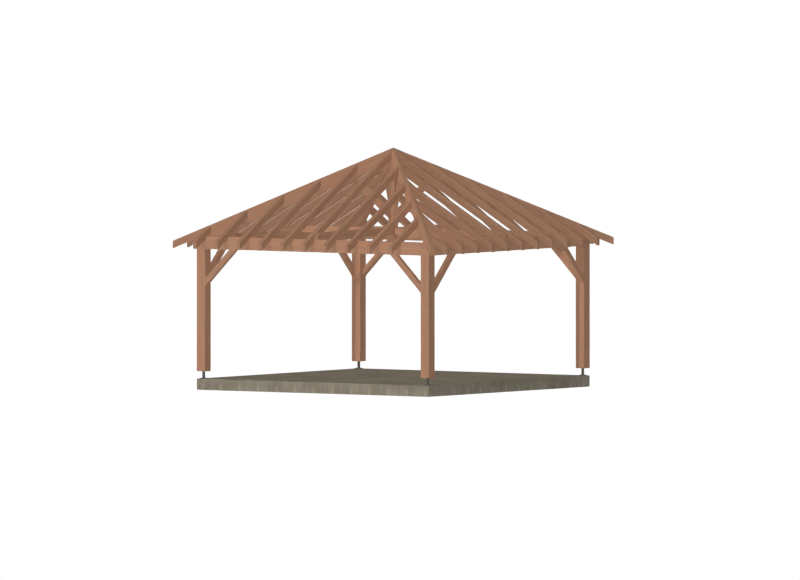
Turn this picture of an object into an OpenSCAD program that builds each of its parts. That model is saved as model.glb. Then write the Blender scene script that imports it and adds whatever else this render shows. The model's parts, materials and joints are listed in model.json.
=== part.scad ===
// Open square garden gazebo: timber posts on steel standoffs, lapped ring beams with knee braces,
// and a bare hip roof frame around a strutted king post, all standing on a concrete slab.
// The front is -Y and the right side is +X. The origin is under the middle of the slab.

/* [Slab and posts] */
// Side of the square over the outer faces of the posts, which is also the slab's side
frame_side = 5000; // [4000:50:6000]
// Thickness of the concrete slab
slab_h = 200; // [100:10:400]
// Side of each square post
post_w = 180; // [140:5:240]
// Clear height from the top of the slab to the underside of the beams
clear_h = 2300; // [2100:10:2700]

/* [Post standoffs] */
// Height of a standoff, from the slab to the foot of the post
standoff_h = 130; // [60:2:200]
// Diameter of the standoff's round bar
standoff_bar_d = 50; // [30:1:60]
// Side of the standoff's square foot and head plates
standoff_plate_w = 100; // [80:5:130]
// Thickness of the standoff's foot and head plates
standoff_plate_t = 10; // [6:1:15]
// Clearance on each side of the head plate, which is let into the foot of the post
plate_clearance = 1; // [0.5:0.5:3]

/* [Ring beams] */
// Width of a beam, inwards from the outer face of the posts
beam_w = 180; // [140:5:240]
// Depth of a beam
beam_h = 225; // [160:5:300]

/* [Knee braces] */
// Distance from the inside corner of post and beam to a brace's lower edge, along either one
brace_leg = 660; // [400:10:900]
// Depth of a brace, square to its length
brace_h = 100; // [60:5:140]
// Thickness of a brace, inwards from the outer face of the posts
brace_t = 85; // [50:5:130]

/* [Roof] */
// Slope of the roof planes in degrees
pitch = 30; // [22:1:38]
// Level reach of the rafter tails beyond the outer face of the beams
overhang = 300; // [150:5:500]
// Width of the common and jack rafters
rafter_w = 75; // [50:5:100]
// Depth of the common and jack rafters, square to the slope
rafter_h = 115; // [100:5:180]
// Plumb depth of the birdsmouth that seats a rafter on the beam
birdsmouth_h = 38; // [25:1:55]
// Jack rafters on each side of a common rafter
jacks = 5; // [3:1:7]
// Jack rafters missing from the front slope, counted from the front right corner
missing_jacks = 1; // [0:1:2]
// Width of the hip rafters
hip_w = 80; // [50:5:100]
// Depth of the hip rafters inside the beams, square to their slope
hip_h = 225; // [190:5:250]

/* [King post] */
// Side of the square king post
king_w = 125; // [100:5:180]
// Clear height from the top of the slab to the foot of the king post
king_clear_h = 2300; // [2200:10:2600]
// Drop from the peak of the roof to the lower edge of the struts, on the king post's corners
strut_drop = 1245; // [1000:5:1500]
// Thickness of the struts
strut_w = 60; // [40:5:100]
// Depth of the struts, square to their length
strut_h = 125; // [80:5:160]

/* [Hidden] */

timber_color = "#a87e64";
concrete_color = "#7d776a";
steel_color = "#47443f";

// Levels and plan sizes of the frame
half = frame_side / 2;
post_middle = half - post_w / 2;
beam_bottom = slab_h + clear_h;
beam_top = beam_bottom + beam_h;
lap_h = beam_h / 2;

// Roof planes: all four meet in the peak over the middle of the slab
rise = tan(pitch);
rafter_plumb = rafter_h / cos(pitch);
peak_z = beam_top + rafter_plumb - birdsmouth_h + half * rise;
eave = half + overhang;
jack_spacing = eave / (jacks + 1);

// Hip rafters run on the diagonals, where the same rise is spread over a longer run
hip_rise = rise / sqrt(2);
hip_plumb = hip_h / cos(atan(hip_rise));
// Plan distance from the diagonal to the side of a hip, measured along an eave
hip_side = hip_w / sqrt(2);
// Diagonal distance from the middle to the beams' outer corner and to the ends of the hip tails
hip_heel = half * sqrt(2);
hip_tail = eave * sqrt(2);

// Facets of the round bars
$fn = 48;

// Height of a roof plane at a level distance from the middle
function roof_z(run) = peak_z - run * rise;

// Height of a hip's ridge line at a level distance from the middle along the diagonal
function hip_z(run) = peak_z - run * hip_rise;

// A quarter turn for each corner or wall, counter-clockwise from the front left or the front
module turned(quarters) {
    rotate([0, 0, 90 * quarters])
        children();
}

// Stands a profile drawn as level run and height along the front's outward direction
module upright(width) {
    rotate([90, 0, -90])
        linear_extrude(width, center = true)
            children();
}

module base_slab() {
    color(concrete_color)
        translate([-half, -half, 0])
            cube([frame_side, frame_side, slab_h]);
}

// Square block on the slab, centred on the front left post
module block_under_post(side, height) {
    translate([-post_middle - side / 2, -post_middle - side / 2, slab_h])
        cube([side, side, height]);
}

// Round bar welded between a foot plate on the slab and a head plate inside the post's foot
module standoff(corner) {
    color(steel_color)
        turned(corner) {
            block_under_post(standoff_plate_w, standoff_plate_t);
            translate([-post_middle, -post_middle, slab_h])
                cylinder(d = standoff_bar_d, h = standoff_h + standoff_plate_t);
            translate([0, 0, standoff_h])
                block_under_post(standoff_plate_w, standoff_plate_t);
        }
}

// Square post with a housing in its foot that takes the head plate flush
module post(corner) {
    color(timber_color)
        turned(corner)
            difference() {
                translate([-half, -half, slab_h + standoff_h])
                    cube([post_w, post_w, clear_h - standoff_h]);
                block_under_post(standoff_plate_w + 2 * plate_clearance, standoff_h + standoff_plate_t);
            }
}

// Knee brace at 45 degrees with a plumb foot on the post and a level head under the beam
module brace(wall, end) {
    edge_step = brace_h * sqrt(2);
    color(timber_color)
        turned(wall)
            translate([end * (half - post_w), -half, beam_bottom])
                rotate([90, 0, 0])
                    mirror([0, 0, 1])
                        linear_extrude(brace_t)
                            polygon([
                                [0, -brace_leg],
                                [-end * brace_leg, 0],
                                [-end * (brace_leg - edge_step), 0],
                                [0, edge_step - brace_leg]
                            ]);
}

// Ring beam over one wall, halved at both ends so that two beams cross at each corner.
// The front and back beams keep their lower halves there, the side beams their upper halves.
module beam(wall, lap_z) {
    color(timber_color)
        turned(wall)
            difference() {
                translate([-half, -half, beam_bottom])
                    cube([frame_side, beam_w, beam_h]);
                for (side = [0, 1])
                    mirror([side, 0, 0])
                        translate([-half, -half, lap_z])
                            cube([beam_w, beam_w, lap_h]);
            }
}

module crossing_under_beam(wall) {
    beam(wall, beam_bottom + lap_h);
}

module crossing_over_beam(wall) {
    beam(wall, beam_bottom);
}

// All four beams as one block, for the notches that straddle their corners
module beam_ring() {
    translate([0, 0, beam_bottom])
        linear_extrude(beam_h)
            difference() {
                square(frame_side, center = true);
                square(frame_side - 2 * beam_w, center = true);
            }
}

// Everything below the four roof planes, out to the ends of the hip tails
module under_roof() {
    reach = 2 * eave;
    intersection() {
        under_roof_pair(0, reach);
        under_roof_pair(1, reach);
    }
}

// Everything below two opposite roof planes
module under_roof_pair(quarters, reach) {
    turned(quarters)
        upright(2 * reach)
            polygon([[-reach, roof_z(reach)], [0, peak_z], [reach, roof_z(reach)]]);
}

module king_section() {
    square(king_w, center = true);
}

// Square post at the peak, cut to the four roof planes at its head
module king_post() {
    king_foot = slab_h + king_clear_h;
    color(timber_color)
        intersection() {
            translate([0, 0, king_foot])
                linear_extrude(peak_z - king_foot)
                    king_section();
            under_roof();
        }
}

// Side view of a rafter: sloping edges, a plumb tail and a birdsmouth over the beam
module rafter_profile() {
    seat_end = half - birdsmouth_h / rise;
    polygon([
        [0, roof_z(0)],
        [eave, roof_z(eave)],
        [eave, roof_z(eave) - rafter_plumb],
        [half, roof_z(half) - rafter_plumb],
        [half, beam_top],
        [seat_end, beam_top],
        [0, roof_z(0) - rafter_plumb]
    ]);
}

// Rafter of the front slope, over the plan outline that its cuts leave
module rafter(plan) {
    intersection() {
        upright(2 * eave)
            rafter_profile();
        linear_extrude(peak_z)
            polygon(plan);
    }
}

// Rafter from the middle of a beam up to the face of the king post
module common_rafter(slope) {
    edge = rafter_w / 2;
    color(timber_color)
        turned(slope)
            rafter([
                [-edge, -eave],
                [edge, -eave],
                [edge, -king_w / 2],
                [-edge, -king_w / 2]
            ]);
}

// Jack rafters of half a slope, each with a compound cheek cut against the side of the hip
module jack_rafters(slope, side, count) {
    color(timber_color)
        turned(slope)
            for (i = [1 : count]) {
                near = i * jack_spacing - rafter_w / 2;
                far = i * jack_spacing + rafter_w / 2;
                rafter([
                    [side * near, -eave],
                    [side * far, -eave],
                    [side * far, -far - hip_side],
                    [side * near, -near - hip_side]
                ]);
            }
}

// Hip rafter over a corner, backed to both roof planes. Its head is notched over the corner of
// the king post and fitted between two commons, its foot straddles the beams' corner, and its
// tail is cut down to the depth of the rafter tails.
module hip_rafter(corner) {
    common_edge = rafter_w / 2;
    color(timber_color)
        turned(corner)
            difference() {
                intersection() {
                    rotate([0, 0, -45])
                        upright(hip_w)
                            polygon([
                                [0, hip_z(0)],
                                [hip_tail, hip_z(hip_tail)],
                                [hip_tail, hip_z(hip_tail) - rafter_plumb],
                                [hip_heel, hip_z(hip_heel) - rafter_plumb],
                                [hip_heel, hip_z(hip_heel) - hip_plumb],
                                [0, hip_z(0) - hip_plumb]
                            ]);
                    under_roof();
                    translate([-2 * eave - common_edge, -2 * eave - common_edge, 0])
                        cube([2 * eave, 2 * eave, peak_z]);
                }
                linear_extrude(peak_z)
                    king_section();
                beam_ring();
            }
}

// Strut at 45 degrees, notched over a corner of the king post and fitted under a hip
module strut(corner) {
    edge_step = strut_h * sqrt(2);
    low_z = peak_z - strut_drop - king_w / sqrt(2);
    hip_under = hip_z(0) - hip_plumb;
    low_end = (hip_under - low_z) / (1 + hip_rise);
    high_end = (hip_under - low_z - edge_step) / (1 + hip_rise);
    color(timber_color)
        turned(corner)
            difference() {
                rotate([0, 0, -45])
                    upright(strut_w)
                        polygon([
                            [0, low_z],
                            [low_end, low_z + low_end],
                            [high_end, low_z + edge_step + high_end],
                            [0, low_z + edge_step]
                        ]);
                linear_extrude(peak_z)
                    king_section();
            }
}

base_slab();

standoff(0);  // front_left_standoff
standoff(1);  // front_right_standoff
standoff(2);  // back_right_standoff
standoff(3);  // back_left_standoff

post(0);  // front_left_post
post(1);  // front_right_post
post(2);  // back_right_post
post(3);  // back_left_post

brace(0, -1);  // front_brace_left
brace(0, 1);  // front_brace_right
brace(1, -1);  // right_brace_front
brace(1, 1);  // right_brace_back
brace(2, -1);  // back_brace_right
brace(2, 1);  // back_brace_left
brace(3, -1);  // left_brace_back
brace(3, 1);  // left_brace_front

crossing_under_beam(0);  // front_beam
crossing_over_beam(1);  // right_beam
crossing_under_beam(2);  // back_beam
crossing_over_beam(3);  // left_beam

king_post();
strut(0);  // front_left_strut
strut(1);  // front_right_strut
strut(2);  // back_right_strut
strut(3);  // back_left_strut

common_rafter(0);  // front_common_rafter
common_rafter(1);  // right_common_rafter
common_rafter(2);  // back_common_rafter
common_rafter(3);  // left_common_rafter

hip_rafter(0);  // front_left_hip_rafter
hip_rafter(1);  // front_right_hip_rafter
hip_rafter(2);  // back_right_hip_rafter
hip_rafter(3);  // back_left_hip_rafter

jack_rafters(0, -1, jacks);  // front_jack_rafters_left
jack_rafters(0, 1, jacks - missing_jacks);  // front_jack_rafters_right
jack_rafters(1, -1, jacks);  // right_jack_rafters_front
jack_rafters(1, 1, jacks);  // right_jack_rafters_back
jack_rafters(2, -1, jacks);  // back_jack_rafters_right
jack_rafters(2, 1, jacks);  // back_jack_rafters_left
jack_rafters(3, -1, jacks);  // left_jack_rafters_back
jack_rafters(3, 1, jacks);  // left_jack_rafters_front
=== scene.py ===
"""Looks of an open garden gazebo: stained softwood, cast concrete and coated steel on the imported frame."""
import json
import math

import bmesh
import bpy
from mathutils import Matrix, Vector


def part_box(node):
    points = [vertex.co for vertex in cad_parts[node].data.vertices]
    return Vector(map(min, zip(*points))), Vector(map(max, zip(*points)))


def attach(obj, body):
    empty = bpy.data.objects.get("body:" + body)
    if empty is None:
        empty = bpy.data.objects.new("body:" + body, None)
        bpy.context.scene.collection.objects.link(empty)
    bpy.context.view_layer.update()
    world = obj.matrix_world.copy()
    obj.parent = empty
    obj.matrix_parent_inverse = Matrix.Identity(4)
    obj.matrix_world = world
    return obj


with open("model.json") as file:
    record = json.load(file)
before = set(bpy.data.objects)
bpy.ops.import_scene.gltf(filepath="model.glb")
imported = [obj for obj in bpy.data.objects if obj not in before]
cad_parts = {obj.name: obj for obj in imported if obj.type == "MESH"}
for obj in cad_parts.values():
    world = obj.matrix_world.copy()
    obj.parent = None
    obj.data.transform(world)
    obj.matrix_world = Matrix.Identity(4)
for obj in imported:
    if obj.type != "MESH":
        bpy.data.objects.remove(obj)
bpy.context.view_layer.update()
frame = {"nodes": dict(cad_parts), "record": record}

# Walls and corners in quarter turns, counter-clockwise from the front and the front left
WALLS = ("front", "right", "back", "left")
CORNERS = ("front_left", "front_right", "back_right", "back_left")
# The two ends of each wall, the first at the corner with the wall's own number
WALL_ENDS = (("left", "right"), ("front", "back"), ("right", "left"), ("back", "front"))

# Sizes read from the frame, in metres
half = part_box("base_slab")[1].x
slab_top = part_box("base_slab")[1].z
post_low, post_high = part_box("front_left_post")
post_middle = -(post_low.x + post_high.x) / 2
beam_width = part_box("front_beam")[1].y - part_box("front_beam")[0].y
beam_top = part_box("front_beam")[1].z
peak_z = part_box("king_post")[1].z
king_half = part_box("king_post")[1].x
eave = -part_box("front_common_rafter")[0].y
rise = (peak_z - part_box("front_common_rafter")[1].z) / king_half
rafter_width = 2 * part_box("front_common_rafter")[1].x
rafter_plumb = peak_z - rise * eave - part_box("front_common_rafter")[0].z

# Jack rafters on each side of a common one, and the wall and place of the one that is missing
JACKS = 5
MISSING_JACK = (0, JACKS)
jack_spacing = eave / (JACKS + 1)
# Sizes of the part that no box of a node gives
HIP_WIDTH = 0.08
HIP_AXIS_DROP = 0.12
STRUT_WIDTH = 0.06
BAR_RADIUS = 0.025
PLATE_THICKNESS = 0.01

# The view: a parallel one, with the pixel where the middle of the slab's underside lies
PHOTO_WIDTH = 800
PHOTO_HEIGHT = 580
METRES_PER_PIXEL = 0.017695
VIEW_AZIMUTH = math.radians(34.705)
VIEW_ELEVATION = math.radians(2.55)
ORIGIN_PIXEL = (393.24, 388.225)
CAMERA_DISTANCE = 40.0
CAMERA_REACH = 1000.0


def turned(vector, quarters):
    """The vector after a number of quarter turns counter-clockwise, seen from above."""
    x, y, z = vector
    for _ in range(quarters % 4):
        x, y = -y, x
    return Vector((x, y, z))


def roof_z(run):
    """Height of a roof plane at a level distance from the middle."""
    return peak_z - run * rise


def srgb(red, green, blue):
    """A display colour of 0 to 255 as the linear colour that shaders take."""
    linear = [c / 255 / 12.92 if c <= 10 else ((c / 255 + 0.055) / 1.055) ** 2.4 for c in (red, green, blue)]
    return (*linear, 1.0)


class Graph:
    """Adds shader nodes to one tree. An input is a socket to link or a plain value to set."""

    def __init__(self, tree):
        self.tree = tree

    def add(self, kind, inputs, output=0, **settings):
        made = self.tree.nodes.new(kind)
        for name, value in settings.items():
            setattr(made, name, value)
        for key, value in inputs.items():
            if isinstance(value, bpy.types.NodeSocket):
                self.tree.links.new(value, made.inputs[key])
            else:
                made.inputs[key].default_value = value
        return made.outputs[output]

    def math(self, operation, first, second=0.0):
        return self.add("ShaderNodeMath", {0: first, 1: second}, operation=operation)

    def vector(self, operation, first, second, output="Vector"):
        return self.add("ShaderNodeVectorMath", {0: first, 1: second}, output, operation=operation)

    def dot(self, first, second):
        return self.vector("DOT_PRODUCT", first, second, "Value")

    def join(self, x, y, z):
        return self.add("ShaderNodeCombineXYZ", {"X": x, "Y": y, "Z": z})

    def part(self, vector, axis):
        return self.add("ShaderNodeSeparateXYZ", {0: vector}, axis)

    def noise(self, place, stretch, detail=2.0, roughness=0.5):
        scaled = self.vector("MULTIPLY", place, stretch)
        settings = {"Vector": scaled, "Scale": 1.0, "Detail": detail, "Roughness": roughness}
        return self.add("ShaderNodeTexNoise", settings)

    def cells(self, place, stretch):
        scaled = self.vector("MULTIPLY", place, stretch)
        return self.add("ShaderNodeTexVoronoi", {"Vector": scaled, "Scale": 1.0})

    def span(self, value, low, high, start=0.0, end=1.0):
        """Maps low..high to start..end, clamped, with soft ends."""
        inputs = {"Value": value, 1: low, 2: high, 3: start, 4: end}
        return self.add("ShaderNodeMapRange", inputs, interpolation_type="SMOOTHSTEP")

    def mix(self, share, first, second, blend="MIX"):
        inputs = {0: share, 6: first, 7: second}
        return self.add("ShaderNodeMix", inputs, 2, data_type="RGBA", blend_type=blend)

    def shade(self, colour, factor):
        """The colour times a grey factor."""
        return self.mix(1.0, colour, self.join(factor, factor, factor), "MULTIPLY")


def new_material(name):
    """A material, with its node graph and its main shader."""
    material = bpy.data.materials.new(name)
    material.use_nodes = True
    return material, Graph(material.node_tree), material.node_tree.nodes["Principled BSDF"]


# Timber: ring width, and display colours of early and late wood, knots and drying checks
RING = 0.0055
EARLY_WOOD = srgb(170, 130, 104)
LATE_WOOD = srgb(146, 107, 83)
REDDISH_WOOD = srgb(167, 123, 98)
KNOT = srgb(122, 84, 62)
CHECK = srgb(104, 74, 57)
# Waves a metre of each pattern in the wood: across a board, through it and along its grain
KNOT_WAVES = (3.2, 3.2, 1.5)
SWAY_WAVES = (2.5, 2.5, 0.8)
FIBRE_WAVES = (260.0, 260.0, 7.0)
STREAK_WAVES = (24.0, 24.0, 0.8)
PATCH_WAVES = (2.4, 2.4, 0.9)
CRACK_WAVES = (26.0, 26.0, 0.7)
CRACK_ROOM_WAVES = (5.0, 5.0, 1.1)
# How far apart boards may lie in those patterns, and a pith from the middle of its board
BOARD_REACH = (23.0, 31.0, 17.0)
PITH_REACH = (0.28, 0.28, 0.0)
# How far the rings are bent, at most, by their sway and by a knot
SWAY_BEND = 0.05
KNOT_BEND = 0.012
# Steps of the seed from board to board in a node, and from node to node
BOARD_SEED_STEP = 0.37
NODE_SEED_STEP = 1.7


def timber_group():
    """Solid softwood: rings round a pith, fibres, streaks, knots and checks, along a board's own grain."""
    tree = bpy.data.node_groups.new("softwood", "ShaderNodeTree")
    for name, kind in (("Grain", "Vector"), ("Across", "Vector"), ("Middle", "Vector"), ("Pitch", "Float"),
                       ("Seed", "Float")):
        tree.interface.new_socket(name, in_out="INPUT", socket_type=f"NodeSocket{kind}")
    for name, kind in (("Color", "Color"), ("Roughness", "Float"), ("Normal", "Vector")):
        tree.interface.new_socket(name, in_out="OUTPUT", socket_type=f"NodeSocket{kind}")
    g = Graph(tree)
    given = tree.nodes.new("NodeGroupInput").outputs
    result = tree.nodes.new("NodeGroupOutput").inputs

    # A place in the board's own axes: across, through its depth and along the grain
    place = g.vector("SUBTRACT", g.add("ShaderNodeTexCoord", {}, "Object"), given["Middle"])
    across = g.dot(place, given["Across"])
    board = g.math("ROUND", g.math("DIVIDE", across, given["Pitch"]))
    aside = g.math("SUBTRACT", across, g.math("MULTIPLY", board, given["Pitch"]))
    depth = g.dot(place, g.vector("CROSS_PRODUCT", given["Grain"], given["Across"]))
    along = g.dot(place, given["Grain"])
    board_seed = g.math("ADD", given["Seed"], g.math("MULTIPLY", board, BOARD_SEED_STEP))
    chance = g.add("ShaderNodeTexWhiteNoise", {"W": board_seed}, "Color", noise_dimensions="1D")
    far_off = g.vector("MULTIPLY", chance, BOARD_REACH)
    wood = g.vector("ADD", g.join(aside, depth, along), far_off)

    knot = g.span(g.cells(wood, KNOT_WAVES), 0.025, 0.06, 1.0, 0.0)
    sway = g.math("SUBTRACT", g.noise(wood, SWAY_WAVES), 0.5)
    pith = g.vector("MULTIPLY", g.vector("SUBTRACT", chance, (0.5, 0.5, 0.5)), PITH_REACH)
    from_pith = g.vector("LENGTH", g.vector("SUBTRACT", g.join(aside, depth, 0.0), pith), (0, 0, 0), "Value")
    bent = g.math("ADD", g.math("MULTIPLY", sway, SWAY_BEND), g.math("MULTIPLY", knot, KNOT_BEND))
    ring = g.math("FRACT", g.math("DIVIDE", g.math("ADD", from_pith, bent), RING))
    late = g.math("MULTIPLY", g.span(ring, 0.35, 0.9), g.span(ring, 0.93, 1.0, 1.0, 0.0))

    fibre = g.noise(wood, FIBRE_WAVES, 3.0, 0.6)
    streak = g.noise(wood, STREAK_WAVES, 3.0)
    patch = g.noise(wood, PATCH_WAVES)
    crack_line = g.math("ABSOLUTE", g.math("SUBTRACT", g.noise(wood, CRACK_WAVES, 1.0), 0.5))
    crack_room = g.span(g.noise(wood, CRACK_ROOM_WAVES), 0.58, 0.66)
    check = g.math("MULTIPLY", g.span(crack_line, 0.003, 0.009, 1.0, 0.0), crack_room)

    colour = g.mix(g.math("MULTIPLY", late, 0.6), EARLY_WOOD, LATE_WOOD)
    colour = g.mix(g.span(patch, 0.35, 0.7, 0.0, 0.45), colour, REDDISH_WOOD)
    colour = g.shade(colour, g.span(streak, 0.25, 0.75, 0.93, 1.06))
    colour = g.shade(colour, g.span(fibre, 0.2, 0.8, 0.94, 1.05))
    colour = g.shade(colour, g.span(g.part(chance, "Z"), 0.0, 1.0, 0.96, 1.03))
    colour = g.mix(g.math("MULTIPLY", knot, 0.7), colour, KNOT)
    colour = g.mix(g.math("MULTIPLY", check, 0.7), colour, CHECK)
    normal = g.add("ShaderNodeNewGeometry", {}, "Normal")
    end = g.span(g.math("ABSOLUTE", g.dot(normal, given["Grain"])), 0.75, 0.95)
    colour = g.shade(colour, g.span(end, 0.0, 1.0, 1.0, 0.88))
    g.tree.links.new(colour, result["Color"])
    g.tree.links.new(g.span(fibre, 0.2, 0.8, 0.66, 0.84), result["Roughness"])

    height = g.math("ADD", g.math("MULTIPLY", fibre, 0.5), g.math("MULTIPLY", late, 0.35))
    height = g.math("SUBTRACT", height, g.math("MULTIPLY", check, 2.5))
    bumped = g.add("ShaderNodeBump", {"Strength": 0.6, "Distance": 0.0008, "Height": height})
    g.tree.links.new(bumped, result["Normal"])
    return tree


def timber_material(name, grain, across, middle, pitch, seed):
    """One piece's own cut of the softwood, with its grain along the piece."""
    material, g, shader = new_material(f"timber_{name}")
    made = g.tree.nodes.new("ShaderNodeGroup")
    made.node_tree = softwood
    values = {"Grain": Vector(grain).normalized(), "Across": Vector(across).normalized(),
              "Middle": Vector(middle), "Pitch": pitch, "Seed": seed}
    for key, value in values.items():
        made.inputs[key].default_value = value
    for key, socket in (("Color", "Base Color"), ("Roughness", "Roughness"), ("Normal", "Normal")):
        g.tree.links.new(made.outputs[key], shader.inputs[socket])
    shader.inputs["Specular IOR Level"].default_value = 0.0
    return material


# Concrete: display colours of the cast face, its darker and lighter patches, pores and lime streaks
CONCRETE = srgb(135, 128, 113)
CONCRETE_DARK = srgb(122, 115, 100)
CONCRETE_LIGHT = srgb(148, 141, 126)
PORE = srgb(92, 86, 74)
LIME = srgb(158, 152, 136)
# Lime streaks run down the sides below each joint of the formwork
STREAK_SPACING = 0.4
STREAK_WIDTH = 0.045
FRONT_STREAK_AT = 0.02
SIDE_STREAK_AT = -0.1
STREAK_WANDER = 0.05
# Waves a metre of each pattern in the concrete, along X, Y and Z
CLOUD_WAVES = (2.2, 2.2, 3.5)
GRIT_WAVES = (70.0, 70.0, 70.0)
PORE_WAVES = (55.0, 55.0, 55.0)
PORE_ROOM_WAVES = (9.0, 9.0, 9.0)
WANDER_WAVES = (6.0, 6.0, 9.0)
BOARD_MARK_WAVES = (15.0, 15.0, 0.6)


def concrete_material():
    """Cloudy grey concrete with grit and pores, and board marks and lime streaks on its sides."""
    material, g, shader = new_material("cast_concrete")
    place = g.add("ShaderNodeTexCoord", {}, "Object")
    normal = g.add("ShaderNodeNewGeometry", {}, "Normal")
    cloud = g.noise(place, CLOUD_WAVES, 5.0, 0.6)
    grit = g.noise(place, GRIT_WAVES, 4.0, 0.7)
    pore = g.span(g.cells(place, PORE_WAVES), 0.1, 0.2, 1.0, 0.0)
    pore_room = g.span(g.noise(place, PORE_ROOM_WAVES), 0.5, 0.6)
    pore = g.math("MULTIPLY", pore, pore_room)

    faces_x = g.math("ABSOLUTE", g.part(normal, "X"))
    faces_y = g.math("ABSOLUTE", g.part(normal, "Y"))
    along_front = g.math("SUBTRACT", g.part(place, "X"), FRONT_STREAK_AT)
    along_side = g.math("SUBTRACT", g.part(place, "Y"), SIDE_STREAK_AT)
    sideways = g.math("ADD", g.math("MULTIPLY", along_front, faces_y),
                      g.math("MULTIPLY", along_side, faces_x))
    wander = g.math("MULTIPLY", g.math("SUBTRACT", g.noise(place, WANDER_WAVES), 0.5), STREAK_WANDER)
    nearest = g.math("PINGPONG", g.math("ADD", sideways, wander), STREAK_SPACING / 2)
    streak = g.span(nearest, 0.0, STREAK_WIDTH, 1.0, 0.0)
    low_down = g.span(g.part(place, "Z"), slab_top * 0.25, slab_top * 0.8, 1.0, 0.0)
    upright = g.math("ADD", faces_x, faces_y)
    streak = g.math("MULTIPLY", g.math("MULTIPLY", streak, low_down), upright)
    # Faint upright marks of the formwork's boards, on the sides only
    board = g.math("MULTIPLY", upright, g.math("SUBTRACT", g.noise(place, BOARD_MARK_WAVES, 3.0), 0.5))

    colour = g.mix(g.span(cloud, 0.35, 0.65), CONCRETE_DARK, CONCRETE)
    colour = g.shade(colour, g.span(board, -0.2, 0.2, 0.91, 1.09))
    colour = g.mix(g.span(grit, 0.55, 0.8, 0.0, 0.7), colour, CONCRETE_LIGHT)
    colour = g.shade(colour, g.span(grit, 0.2, 0.5, 0.92, 1.0))
    colour = g.mix(g.math("MULTIPLY", streak, 0.6), colour, LIME)
    colour = g.mix(g.math("MULTIPLY", pore, 0.7), colour, PORE)
    g.tree.links.new(colour, shader.inputs["Base Color"])
    g.tree.links.new(g.span(grit, 0.2, 0.8, 0.85, 0.98), shader.inputs["Roughness"])
    height = g.math("SUBTRACT", g.math("ADD", grit, g.math("MULTIPLY", cloud, 0.6)), pore)
    bumped = g.add("ShaderNodeBump", {"Strength": 0.7, "Distance": 0.002, "Height": height})
    g.tree.links.new(bumped, shader.inputs["Normal"])
    shader.inputs["Specular IOR Level"].default_value = 0.0
    return material


# Steel: display colours of the standoffs' dark grey coat and the screws' brown one, each with its worn tone
GREY_COAT = (srgb(46, 43, 38), srgb(66, 62, 55))
BROWN_COAT = (srgb(128, 95, 74), srgb(142, 108, 86))
# Waves a metre of the worn patches and of the coat's own grain
WEAR_WAVES = (30.0, 30.0, 18.0)
COAT_WAVES = (900.0, 900.0, 900.0)


def steel_material(name, coat, worn):
    """Steel under a thin rough coat that is a little worn."""
    material, g, shader = new_material(name)
    place = g.add("ShaderNodeTexCoord", {}, "Object")
    cloud = g.noise(place, WEAR_WAVES, 4.0, 0.6)
    grain = g.noise(place, COAT_WAVES)
    colour = g.mix(g.span(cloud, 0.45, 0.75), coat, worn)
    g.tree.links.new(g.shade(colour, g.span(grain, 0.2, 0.8, 0.9, 1.08)), shader.inputs["Base Color"])
    g.tree.links.new(g.span(cloud, 0.3, 0.7, 0.42, 0.6), shader.inputs["Roughness"])
    bumped = g.add("ShaderNodeBump", {"Strength": 0.3, "Distance": 0.0004, "Height": grain})
    g.tree.links.new(bumped, shader.inputs["Normal"])
    shader.inputs["Metallic"].default_value = 0.35
    return material


# Board pitch of a timber that stands alone, wider than any piece
LONE_PITCH = 100.0


def timber_pieces():
    """Every timber node with its grain, the direction across, a point on its axis and its board pitch."""
    pieces = []

    def lone(node, grain, across):
        low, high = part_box(node)
        pieces.append((node, grain, across, (low + high) / 2, LONE_PITCH))

    for corner, name in enumerate(CORNERS):
        lone(f"{name}_post", (0, 0, 1), (1, 0, 0))
        outward = turned((-1, -1, 0), corner)
        sideways = turned((1, -1, 0), corner)
        lone(f"{name}_strut", outward + Vector((0, 0, math.sqrt(2))), sideways)
        hip_axis = Vector((0, 0, peak_z - HIP_AXIS_DROP))
        pieces.append((f"{name}_hip_rafter", outward + Vector((0, 0, -rise)), sideways, hip_axis, LONE_PITCH))
    lone("king_post", (0, 0, 1), (1, 0, 0))
    for wall, name in enumerate(WALLS):
        along = turned((1, 0, 0), wall)
        lone(f"{name}_beam", along, (0, 0, 1))
        for end, lean in zip(WALL_ENDS[wall], (1, -1)):
            lone(f"{name}_brace_{end}", along * lean + Vector((0, 0, 1)), turned((0, 1, 0), wall))
        down_slope = turned((0, -1, -rise), wall)
        rafter_axis = Vector((0, 0, peak_z - rafter_plumb / 2))
        for node in (f"{name}_common_rafter", *(f"{name}_jack_rafters_{end}" for end in WALL_ENDS[wall])):
            pieces.append((node, down_slope, along, rafter_axis, jack_spacing))
    return pieces


# Rounding of the edges of planed timber and of the cast slab, by material slot
ARRIS = {"frame_timber": 0.003, "roof_timber": 0.0004, "concrete": 0.008}
ARRIS_SEGMENTS = 2
# Faces that meet under the first angle are one plane, and edges over the second are rounded
FLAT_ANGLE = math.radians(1)
EDGE_ANGLE = math.radians(20)
REJOIN_DISTANCE = 0.0001


def soften_edges(piece, width):
    """Rounds a piece's arrises with modifiers, on faces rejoined across their triangles."""
    weld = piece.modifiers.new("rejoin", "WELD")
    weld.merge_threshold = REJOIN_DISTANCE
    planar = piece.modifiers.new("planes", "DECIMATE")
    planar.decimate_type = "DISSOLVE"
    planar.angle_limit = FLAT_ANGLE
    bevel = piece.modifiers.new("arris", "BEVEL")
    bevel.width = width
    bevel.segments = ARRIS_SEGMENTS
    bevel.limit_method = "ANGLE"
    bevel.angle_limit = EDGE_ANGLE


def dress(node, material):
    """Gives a node of the frame one material."""
    slots = frame["nodes"][node].data.materials
    slots.clear()
    slots.append(material)


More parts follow.
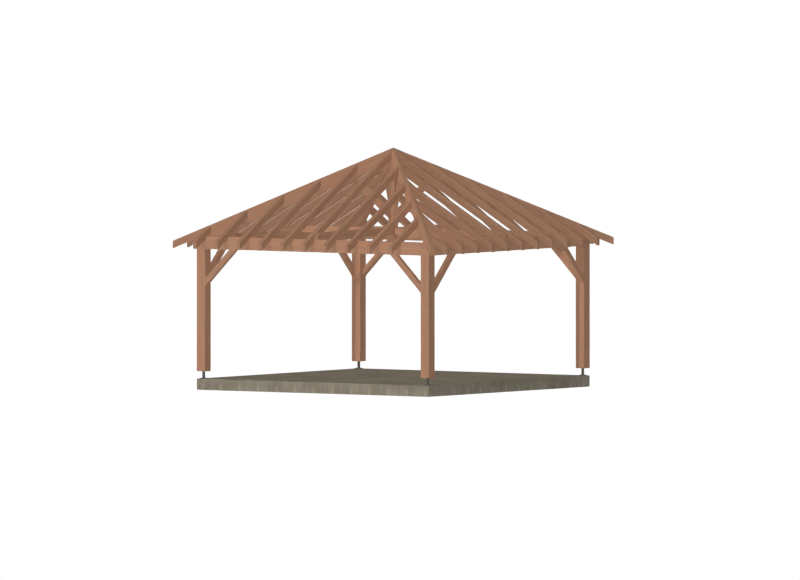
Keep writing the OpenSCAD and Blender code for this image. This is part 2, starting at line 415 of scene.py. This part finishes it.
slot_of = {row["node"]: row["material_slot"] for row in frame["record"]["subparts"]}
softwood = timber_group()
for seed, (node, grain, across, middle, pitch) in enumerate(timber_pieces()):
    dress(node, timber_material(node, grain, across, middle, pitch, seed * NODE_SEED_STEP))
    soften_edges(frame["nodes"][node], ARRIS[slot_of[node]])
dress("base_slab", concrete_material())
soften_edges(frame["nodes"]["base_slab"], ARRIS["concrete"])
coated_steel = steel_material("coated_steel", *GREY_COAT)
for corner in CORNERS:
    dress(f"{corner}_standoff", coated_steel)


def add_piece(name, shape, material):
    """Makes a mesh shape into a piece of the object, riding on the frame."""
    mesh = bpy.data.meshes.new(name)
    bmesh.ops.recalc_face_normals(shape, faces=shape.faces)
    shape.to_mesh(mesh)
    shape.free()
    mesh.materials.append(material)
    piece = bpy.data.objects.new(name, mesh)
    bpy.context.scene.collection.objects.link(piece)
    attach(piece, "root")
    return piece


# Level ties, which have no node in the frame. They lie on the beams in pairs, a plank as thick as a rafter
# on each side of the common ones: depth, drop of the cut of their ends under the roof plane, first seed
TIE_DEPTH = 0.115
TIE_CUT_UNDER = 0.03
TIE_SEED = 90.0
# From the middle of a pair to the inner and outer faces of its planks
tie_inner = rafter_width / 2
tie_outer = tie_inner + rafter_width
tie_middle = (tie_inner + tie_outer) / 2


def add_tie_plank(shape, wall, side):
    """One plank from the king post out over the beam, mitred at the post and cut to the roof at its end."""
    top = beam_top + TIE_DEPTH
    shoulder = (peak_z - TIE_CUT_UNDER - top) / rise
    end_top = roof_z(half) - TIE_CUT_UNDER

    def corner(across, run, level):
        return shape.verts.new(turned((side * across, -run, level), wall))

    near = [(tie_inner, king_half), (king_half, king_half), (tie_outer, tie_outer)]
    under = [corner(*place, beam_top) for place in near + [(tie_outer, half), (tie_inner, half)]]
    over = [corner(*place, top) for place in near + [(tie_outer, shoulder), (tie_inner, shoulder)]]
    ends = [corner(across, half, end_top) for across in (tie_outer, tie_inner)]
    shape.faces.new(under)
    shape.faces.new(over)
    shape.faces.new((under[0], under[1], over[1], over[0]))
    shape.faces.new((under[1], under[2], over[2], over[1]))
    shape.faces.new((under[2], under[3], ends[0], over[3], over[2]))
    shape.faces.new((under[3], under[4], ends[1], ends[0]))
    shape.faces.new((ends[0], ends[1], over[4], over[3]))
    shape.faces.new((under[4], under[0], over[0], over[4], ends[1]))


def add_ties():
    """A pair of tie planks for each wall, meeting the other pairs round the king post."""
    for wall, name in enumerate(WALLS):
        shape = bmesh.new()
        for side in (-1, 1):
            add_tie_plank(shape, wall, side)
        grain = turned((0, -1, 0), wall)
        across = turned((1, 0, 0), wall)
        middle = turned((tie_middle, 0, beam_top + TIE_DEPTH / 2), wall)
        seed = TIE_SEED + wall * NODE_SEED_STEP
        material = timber_material(f"{name}_ties", grain, across, middle, tie_middle * 2, seed)
        ties = add_piece(f"{name}_ties", shape, material)
        soften_edges(ties, ARRIS["roof_timber"])


# Points of a turned shape that are one point, and the angle from which its edges stay crisp
SAME_POINT = 0.00001
CRISP_ANGLE = math.radians(35)


class Turnings:
    """A mesh of small turned shapes, which becomes one piece on the frame."""

    def __init__(self):
        self.points = []
        self.faces = []

    def turn(self, profile, sides, centre, axis, ripple=0.0, ripples=0):
        """Turns a profile of (radius, height) points round an axis, with radii that may ripple round it."""
        axis = Vector(axis).normalized()
        aside = axis.orthogonal().normalized()
        other = axis.cross(aside)
        first = len(self.points)
        for radius, height in profile:
            for k in range(sides):
                angle = 2 * math.pi * k / sides
                reach = radius + ripple * math.sin(ripples * angle)
                spoke = aside * math.cos(angle) + other * math.sin(angle)
                self.points.append(Vector(centre) + axis * height + spoke * reach)
        for ring in range(len(profile) - 1):
            for k in range(sides):
                here = first + ring * sides
                after = (k + 1) % sides
                self.faces.append((here + k, here + after, here + sides + after, here + sides + k))

    def finish(self, name, material):
        """Links the piece, with its doubled points merged and its edges crisp, riding on the frame."""
        shape = bmesh.new()
        corners = [shape.verts.new(point) for point in self.points]
        for face in self.faces:
            shape.faces.new([corners[index] for index in face])
        bmesh.ops.remove_doubles(shape, verts=shape.verts, dist=SAME_POINT)
        piece = add_piece(name, shape, material)
        piece.data.shade_smooth()
        piece.data.set_sharp_from_angle(angle=CRISP_ANGLE)


# Profiles of (radius, height): a washer-head screw and an anchor screw, each with its drive hole
SCREW_HEAD = ((0.009, 0.0), (0.009, 0.001), (0.006, 0.0028), (0.003, 0.003), (0.0027, 0.0012), (0.0, 0.0012))
ANCHOR_HEAD = ((0.011, 0.0), (0.011, 0.0015), (0.0075, 0.0042), (0.0038, 0.0045), (0.0034, 0.002),
               (0.0, 0.002))
SCREW_SIDES = 12
ANCHOR_SIDES = 20
# A weld's fillet between a bar and a plate
WELD = ((BAR_RADIUS - 0.001, 0.0085), (BAR_RADIUS + 0.003, 0.0075), (BAR_RADIUS + 0.006, 0.0045),
        (BAR_RADIUS + 0.0075, 0.0))
WELD_SIDES = 96
WELD_RIPPLES = 32
WELD_RIPPLE = 0.0004
# From the middle of a foot plate to its anchors, along each side
ANCHOR_AT = 0.037
# From the end of a brace, strut, tie or rafter to its first screw, and on to the second
SCREW_INSET = 0.05
SCREW_STEP = 0.05
# From a hip's ridge line to the screws on its backed sides
HIP_SCREW_ASIDE = 0.028


def add_standoff_fittings():
    """Anchors on the foot plates, and welds where the bars meet both plates."""
    anchors = Turnings()
    welds = Turnings()
    up = (0, 0, 1)
    for corner in range(4):
        x, y, _ = turned((-post_middle, -post_middle, 0), corner)
        plate_top = slab_top + PLATE_THICKNESS
        for across in (-ANCHOR_AT, ANCHOR_AT):
            for along in (-ANCHOR_AT, ANCHOR_AT):
                anchors.turn(ANCHOR_HEAD, ANCHOR_SIDES, (x + across, y + along, plate_top), up)
        welds.turn(WELD, WELD_SIDES, (x, y, plate_top), up, WELD_RIPPLE, WELD_RIPPLES)
        welds.turn(WELD, WELD_SIDES, (x, y, post_low.z), (0, 0, -1), WELD_RIPPLE, WELD_RIPPLES)
    anchors.finish("standoff_anchors", coated_steel)
    welds.finish("standoff_welds", coated_steel)


def brace_screw_places():
    """Points and directions of two screws at each end of the front braces, on their lower edges."""
    low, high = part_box("front_brace_left")
    thickness = high.y - low.y
    for side in (1, -1):
        for run in (SCREW_INSET, high.x - low.x - SCREW_INSET):
            for inwards in (thickness / 3, thickness * 2 / 3):
                point = (side * (low.x + run), low.y + inwards, low.z + run)
                yield point, (side, 0, -1)


def strut_screw_places():
    """Points and directions of two screws at each end of the front left strut, on its lower edge."""
    low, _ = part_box("front_left_strut")
    king_corner = king_half * math.sqrt(2)
    edge_z = low.z - (king_corner - STRUT_WIDTH / 2)
    far_end = -low.x * math.sqrt(2) - STRUT_WIDTH / 2
    near_runs = [king_corner + SCREW_INSET, king_corner + SCREW_INSET + SCREW_STEP]
    far_runs = [far_end - SCREW_INSET, far_end - SCREW_INSET - SCREW_STEP]
    for run in near_runs + far_runs:
        level = -run / math.sqrt(2)
        yield (level, level, edge_z + run), (-1, -1, -math.sqrt(2))


def rafter_screw_places(wall):
    """Points and directions of the screws down through one slope's rafters and the hips beside it."""
    over_beam = half - beam_width / 2
    runs = []
    for place in range(-JACKS, JACKS + 1):
        if (wall, place) == MISSING_JACK:
            continue
        x = place * jack_spacing
        top = king_half if place == 0 else abs(x) + (rafter_width + HIP_WIDTH * math.sqrt(2)) / 2
        runs += [(x, over_beam), (x, top + SCREW_INSET)]
    for side in (-1, 1):
        runs.append((side * (over_beam - HIP_SCREW_ASIDE), over_beam))
    for x, run in runs:
        yield (x, -run, roof_z(run)), (0, -rise, 1)


def tie_screw_places():
    """Points and directions of two screws through the outer end of each front tie plank, into the rafter."""
    level = beam_top + TIE_DEPTH / 2
    for side in (-1, 1):
        for run in (half - SCREW_INSET, half - SCREW_INSET - SCREW_STEP):
            yield (side * tie_outer, -run, level), (side, 0, 0)


def add_screws():
    """Brown screws in braces, struts, ties and rafters, the same on each quarter but for a missing rafter."""
    brown_steel = steel_material("brown_steel", *BROWN_COAT)
    groups = {"brace_screws": Turnings(), "strut_screws": Turnings(), "tie_screws": Turnings(),
              "rafter_screws": Turnings()}
    for quarter in range(4):
        places = {"brace_screws": brace_screw_places(), "strut_screws": strut_screw_places(),
                  "tie_screws": tie_screw_places(), "rafter_screws": rafter_screw_places(quarter)}
        for name, heads in places.items():
            for point, outward in heads:
                groups[name].turn(SCREW_HEAD, SCREW_SIDES, turned(point, quarter), turned(outward, quarter))
    for name, screws in groups.items():
        screws.finish(name, brown_steel)


add_ties()
add_standoff_fittings()
add_screws()


def white_rays(g):
    """1 for rays straight from the camera, and for reflected and transmitted ones."""
    rays = g.tree.nodes.new("ShaderNodeLightPath").outputs
    reflected = g.math("MAXIMUM", rays["Is Glossy Ray"], rays["Is Transmission Ray"])
    return g.math("MAXIMUM", rays["Is Camera Ray"], reflected)


# The floor: half its width, its own grey, and the share of white that the camera sees on top of its shading
FLOOR_REACH = 400.0
FLOOR_GREY = (0.4, 0.4, 0.4, 1.0)
FLOOR_LIFT = 0.78


def add_floor():
    """A wide pale floor that the camera sees as white, with the object's shadow kept."""
    mesh = bpy.data.meshes.new("floor")
    corners = [(x * FLOOR_REACH, y * FLOOR_REACH, 0.0) for x, y in ((-1, -1), (1, -1), (1, 1), (-1, 1))]
    mesh.from_pydata(corners, [], [(0, 1, 2, 3)])
    floor = bpy.data.objects.new("floor", mesh)
    bpy.context.scene.collection.objects.link(floor)
    material, g, shader = new_material("pale_floor")
    shader.inputs["Base Color"].default_value = FLOOR_GREY
    shader.inputs["Roughness"].default_value = 1.0
    shader.inputs["Specular IOR Level"].default_value = 0.0
    lift = g.math("MULTIPLY", white_rays(g), FLOOR_LIFT)
    white = g.add("ShaderNodeEmission", {"Color": (1, 1, 1, 1), "Strength": lift})
    both = g.add("ShaderNodeAddShader", {0: shader.outputs[0], 1: white})
    g.tree.links.new(both, g.tree.nodes["Material Output"].inputs["Surface"])
    mesh.materials.append(material)


# Light on a plain white face, where 1 shows a colour as written: a low front sun, an even sky from both
# ends of one axis that casts no shadow, and a little light all round that darkens corners
SUN_TOWARDS = (0.0218, -1.0, 0.0395)
SUN_LIGHT = 0.294
SUN_TINT = (1.05, 0.96, 0.93)
SUN_ANGLE = 0.3
SKY_TOWARDS = (-0.04, -0.13, 0.04)
SKY_LIGHT = 0.46
SKY_TINT = (0.98, 1.015, 1.03)
SKY_TILT = 0.139
SKY_ANGLE = 180
ROUND_LIGHT = 0.12


def add_world():
    """A little light all round, which the camera sees as white."""
    world = bpy.data.worlds.new("studio")
    bpy.context.scene.world = world
    world.use_nodes = True
    g = Graph(world.node_tree)
    strength = g.add("ShaderNodeMix", {0: white_rays(g), 2: ROUND_LIGHT, 3: 1.0})
    sky = world.node_tree.nodes["Background"]
    sky.inputs["Color"].default_value = (1, 1, 1, 1)
    g.tree.links.new(strength, sky.inputs["Strength"])


def add_sun(name, towards, light, tint, angle, shadow=True):
    """A lamp that shines from a direction, spread over an angle in degrees."""
    lamp = bpy.data.lights.new(name, "SUN")
    lamp.energy = light * math.pi
    lamp.color = tint
    lamp.angle = math.radians(angle)
    lamp.use_shadow = shadow
    lamp.cycles.use_multiple_importance_sampling = shadow
    sun = bpy.data.objects.new(name, lamp)
    sun.rotation_mode = "QUATERNION"
    sun.rotation_quaternion = Vector(towards).to_track_quat("Z", "Y")
    bpy.context.scene.collection.objects.link(sun)


def add_camera():
    """The photo's parallel view, with the slab's middle at its pixel."""
    data = bpy.data.cameras.new("camera")
    data.type = "ORTHO"
    data.ortho_scale = PHOTO_WIDTH * METRES_PER_PIXEL
    camera = bpy.data.objects.new("camera", data)
    bpy.context.scene.collection.objects.link(camera)
    bpy.context.scene.camera = camera
    sin_a, cos_a = math.sin(VIEW_AZIMUTH), math.cos(VIEW_AZIMUTH)
    sin_e, cos_e = math.sin(VIEW_ELEVATION), math.cos(VIEW_ELEVATION)
    back = Vector((sin_a * cos_e, -cos_a * cos_e, sin_e))
    right = Vector((cos_a, sin_a, 0.0))
    up = Vector((-sin_a * sin_e, cos_a * sin_e, cos_e))
    rightward = (PHOTO_WIDTH / 2 - ORIGIN_PIXEL[0]) * METRES_PER_PIXEL
    upward = (ORIGIN_PIXEL[1] - PHOTO_HEIGHT / 2) * METRES_PER_PIXEL
    camera.location = right * rightward + up * upward + back * CAMERA_DISTANCE
    camera.rotation_mode = "QUATERNION"
    camera.rotation_quaternion = back.to_track_quat("Z", "Y")
    data.clip_end = CAMERA_REACH


add_floor()
add_world()
add_sun("sun", SUN_TOWARDS, SUN_LIGHT, SUN_TINT, SUN_ANGLE)
add_sun("near_sky", SKY_TOWARDS, SKY_LIGHT + SKY_TILT, SKY_TINT, SKY_ANGLE, shadow=False)
add_sun("far_sky", [-part for part in SKY_TOWARDS], SKY_LIGHT - SKY_TILT, SKY_TINT, SKY_ANGLE, shadow=False)
add_camera()
bpy.context.scene.view_settings.view_transform = "Standard"
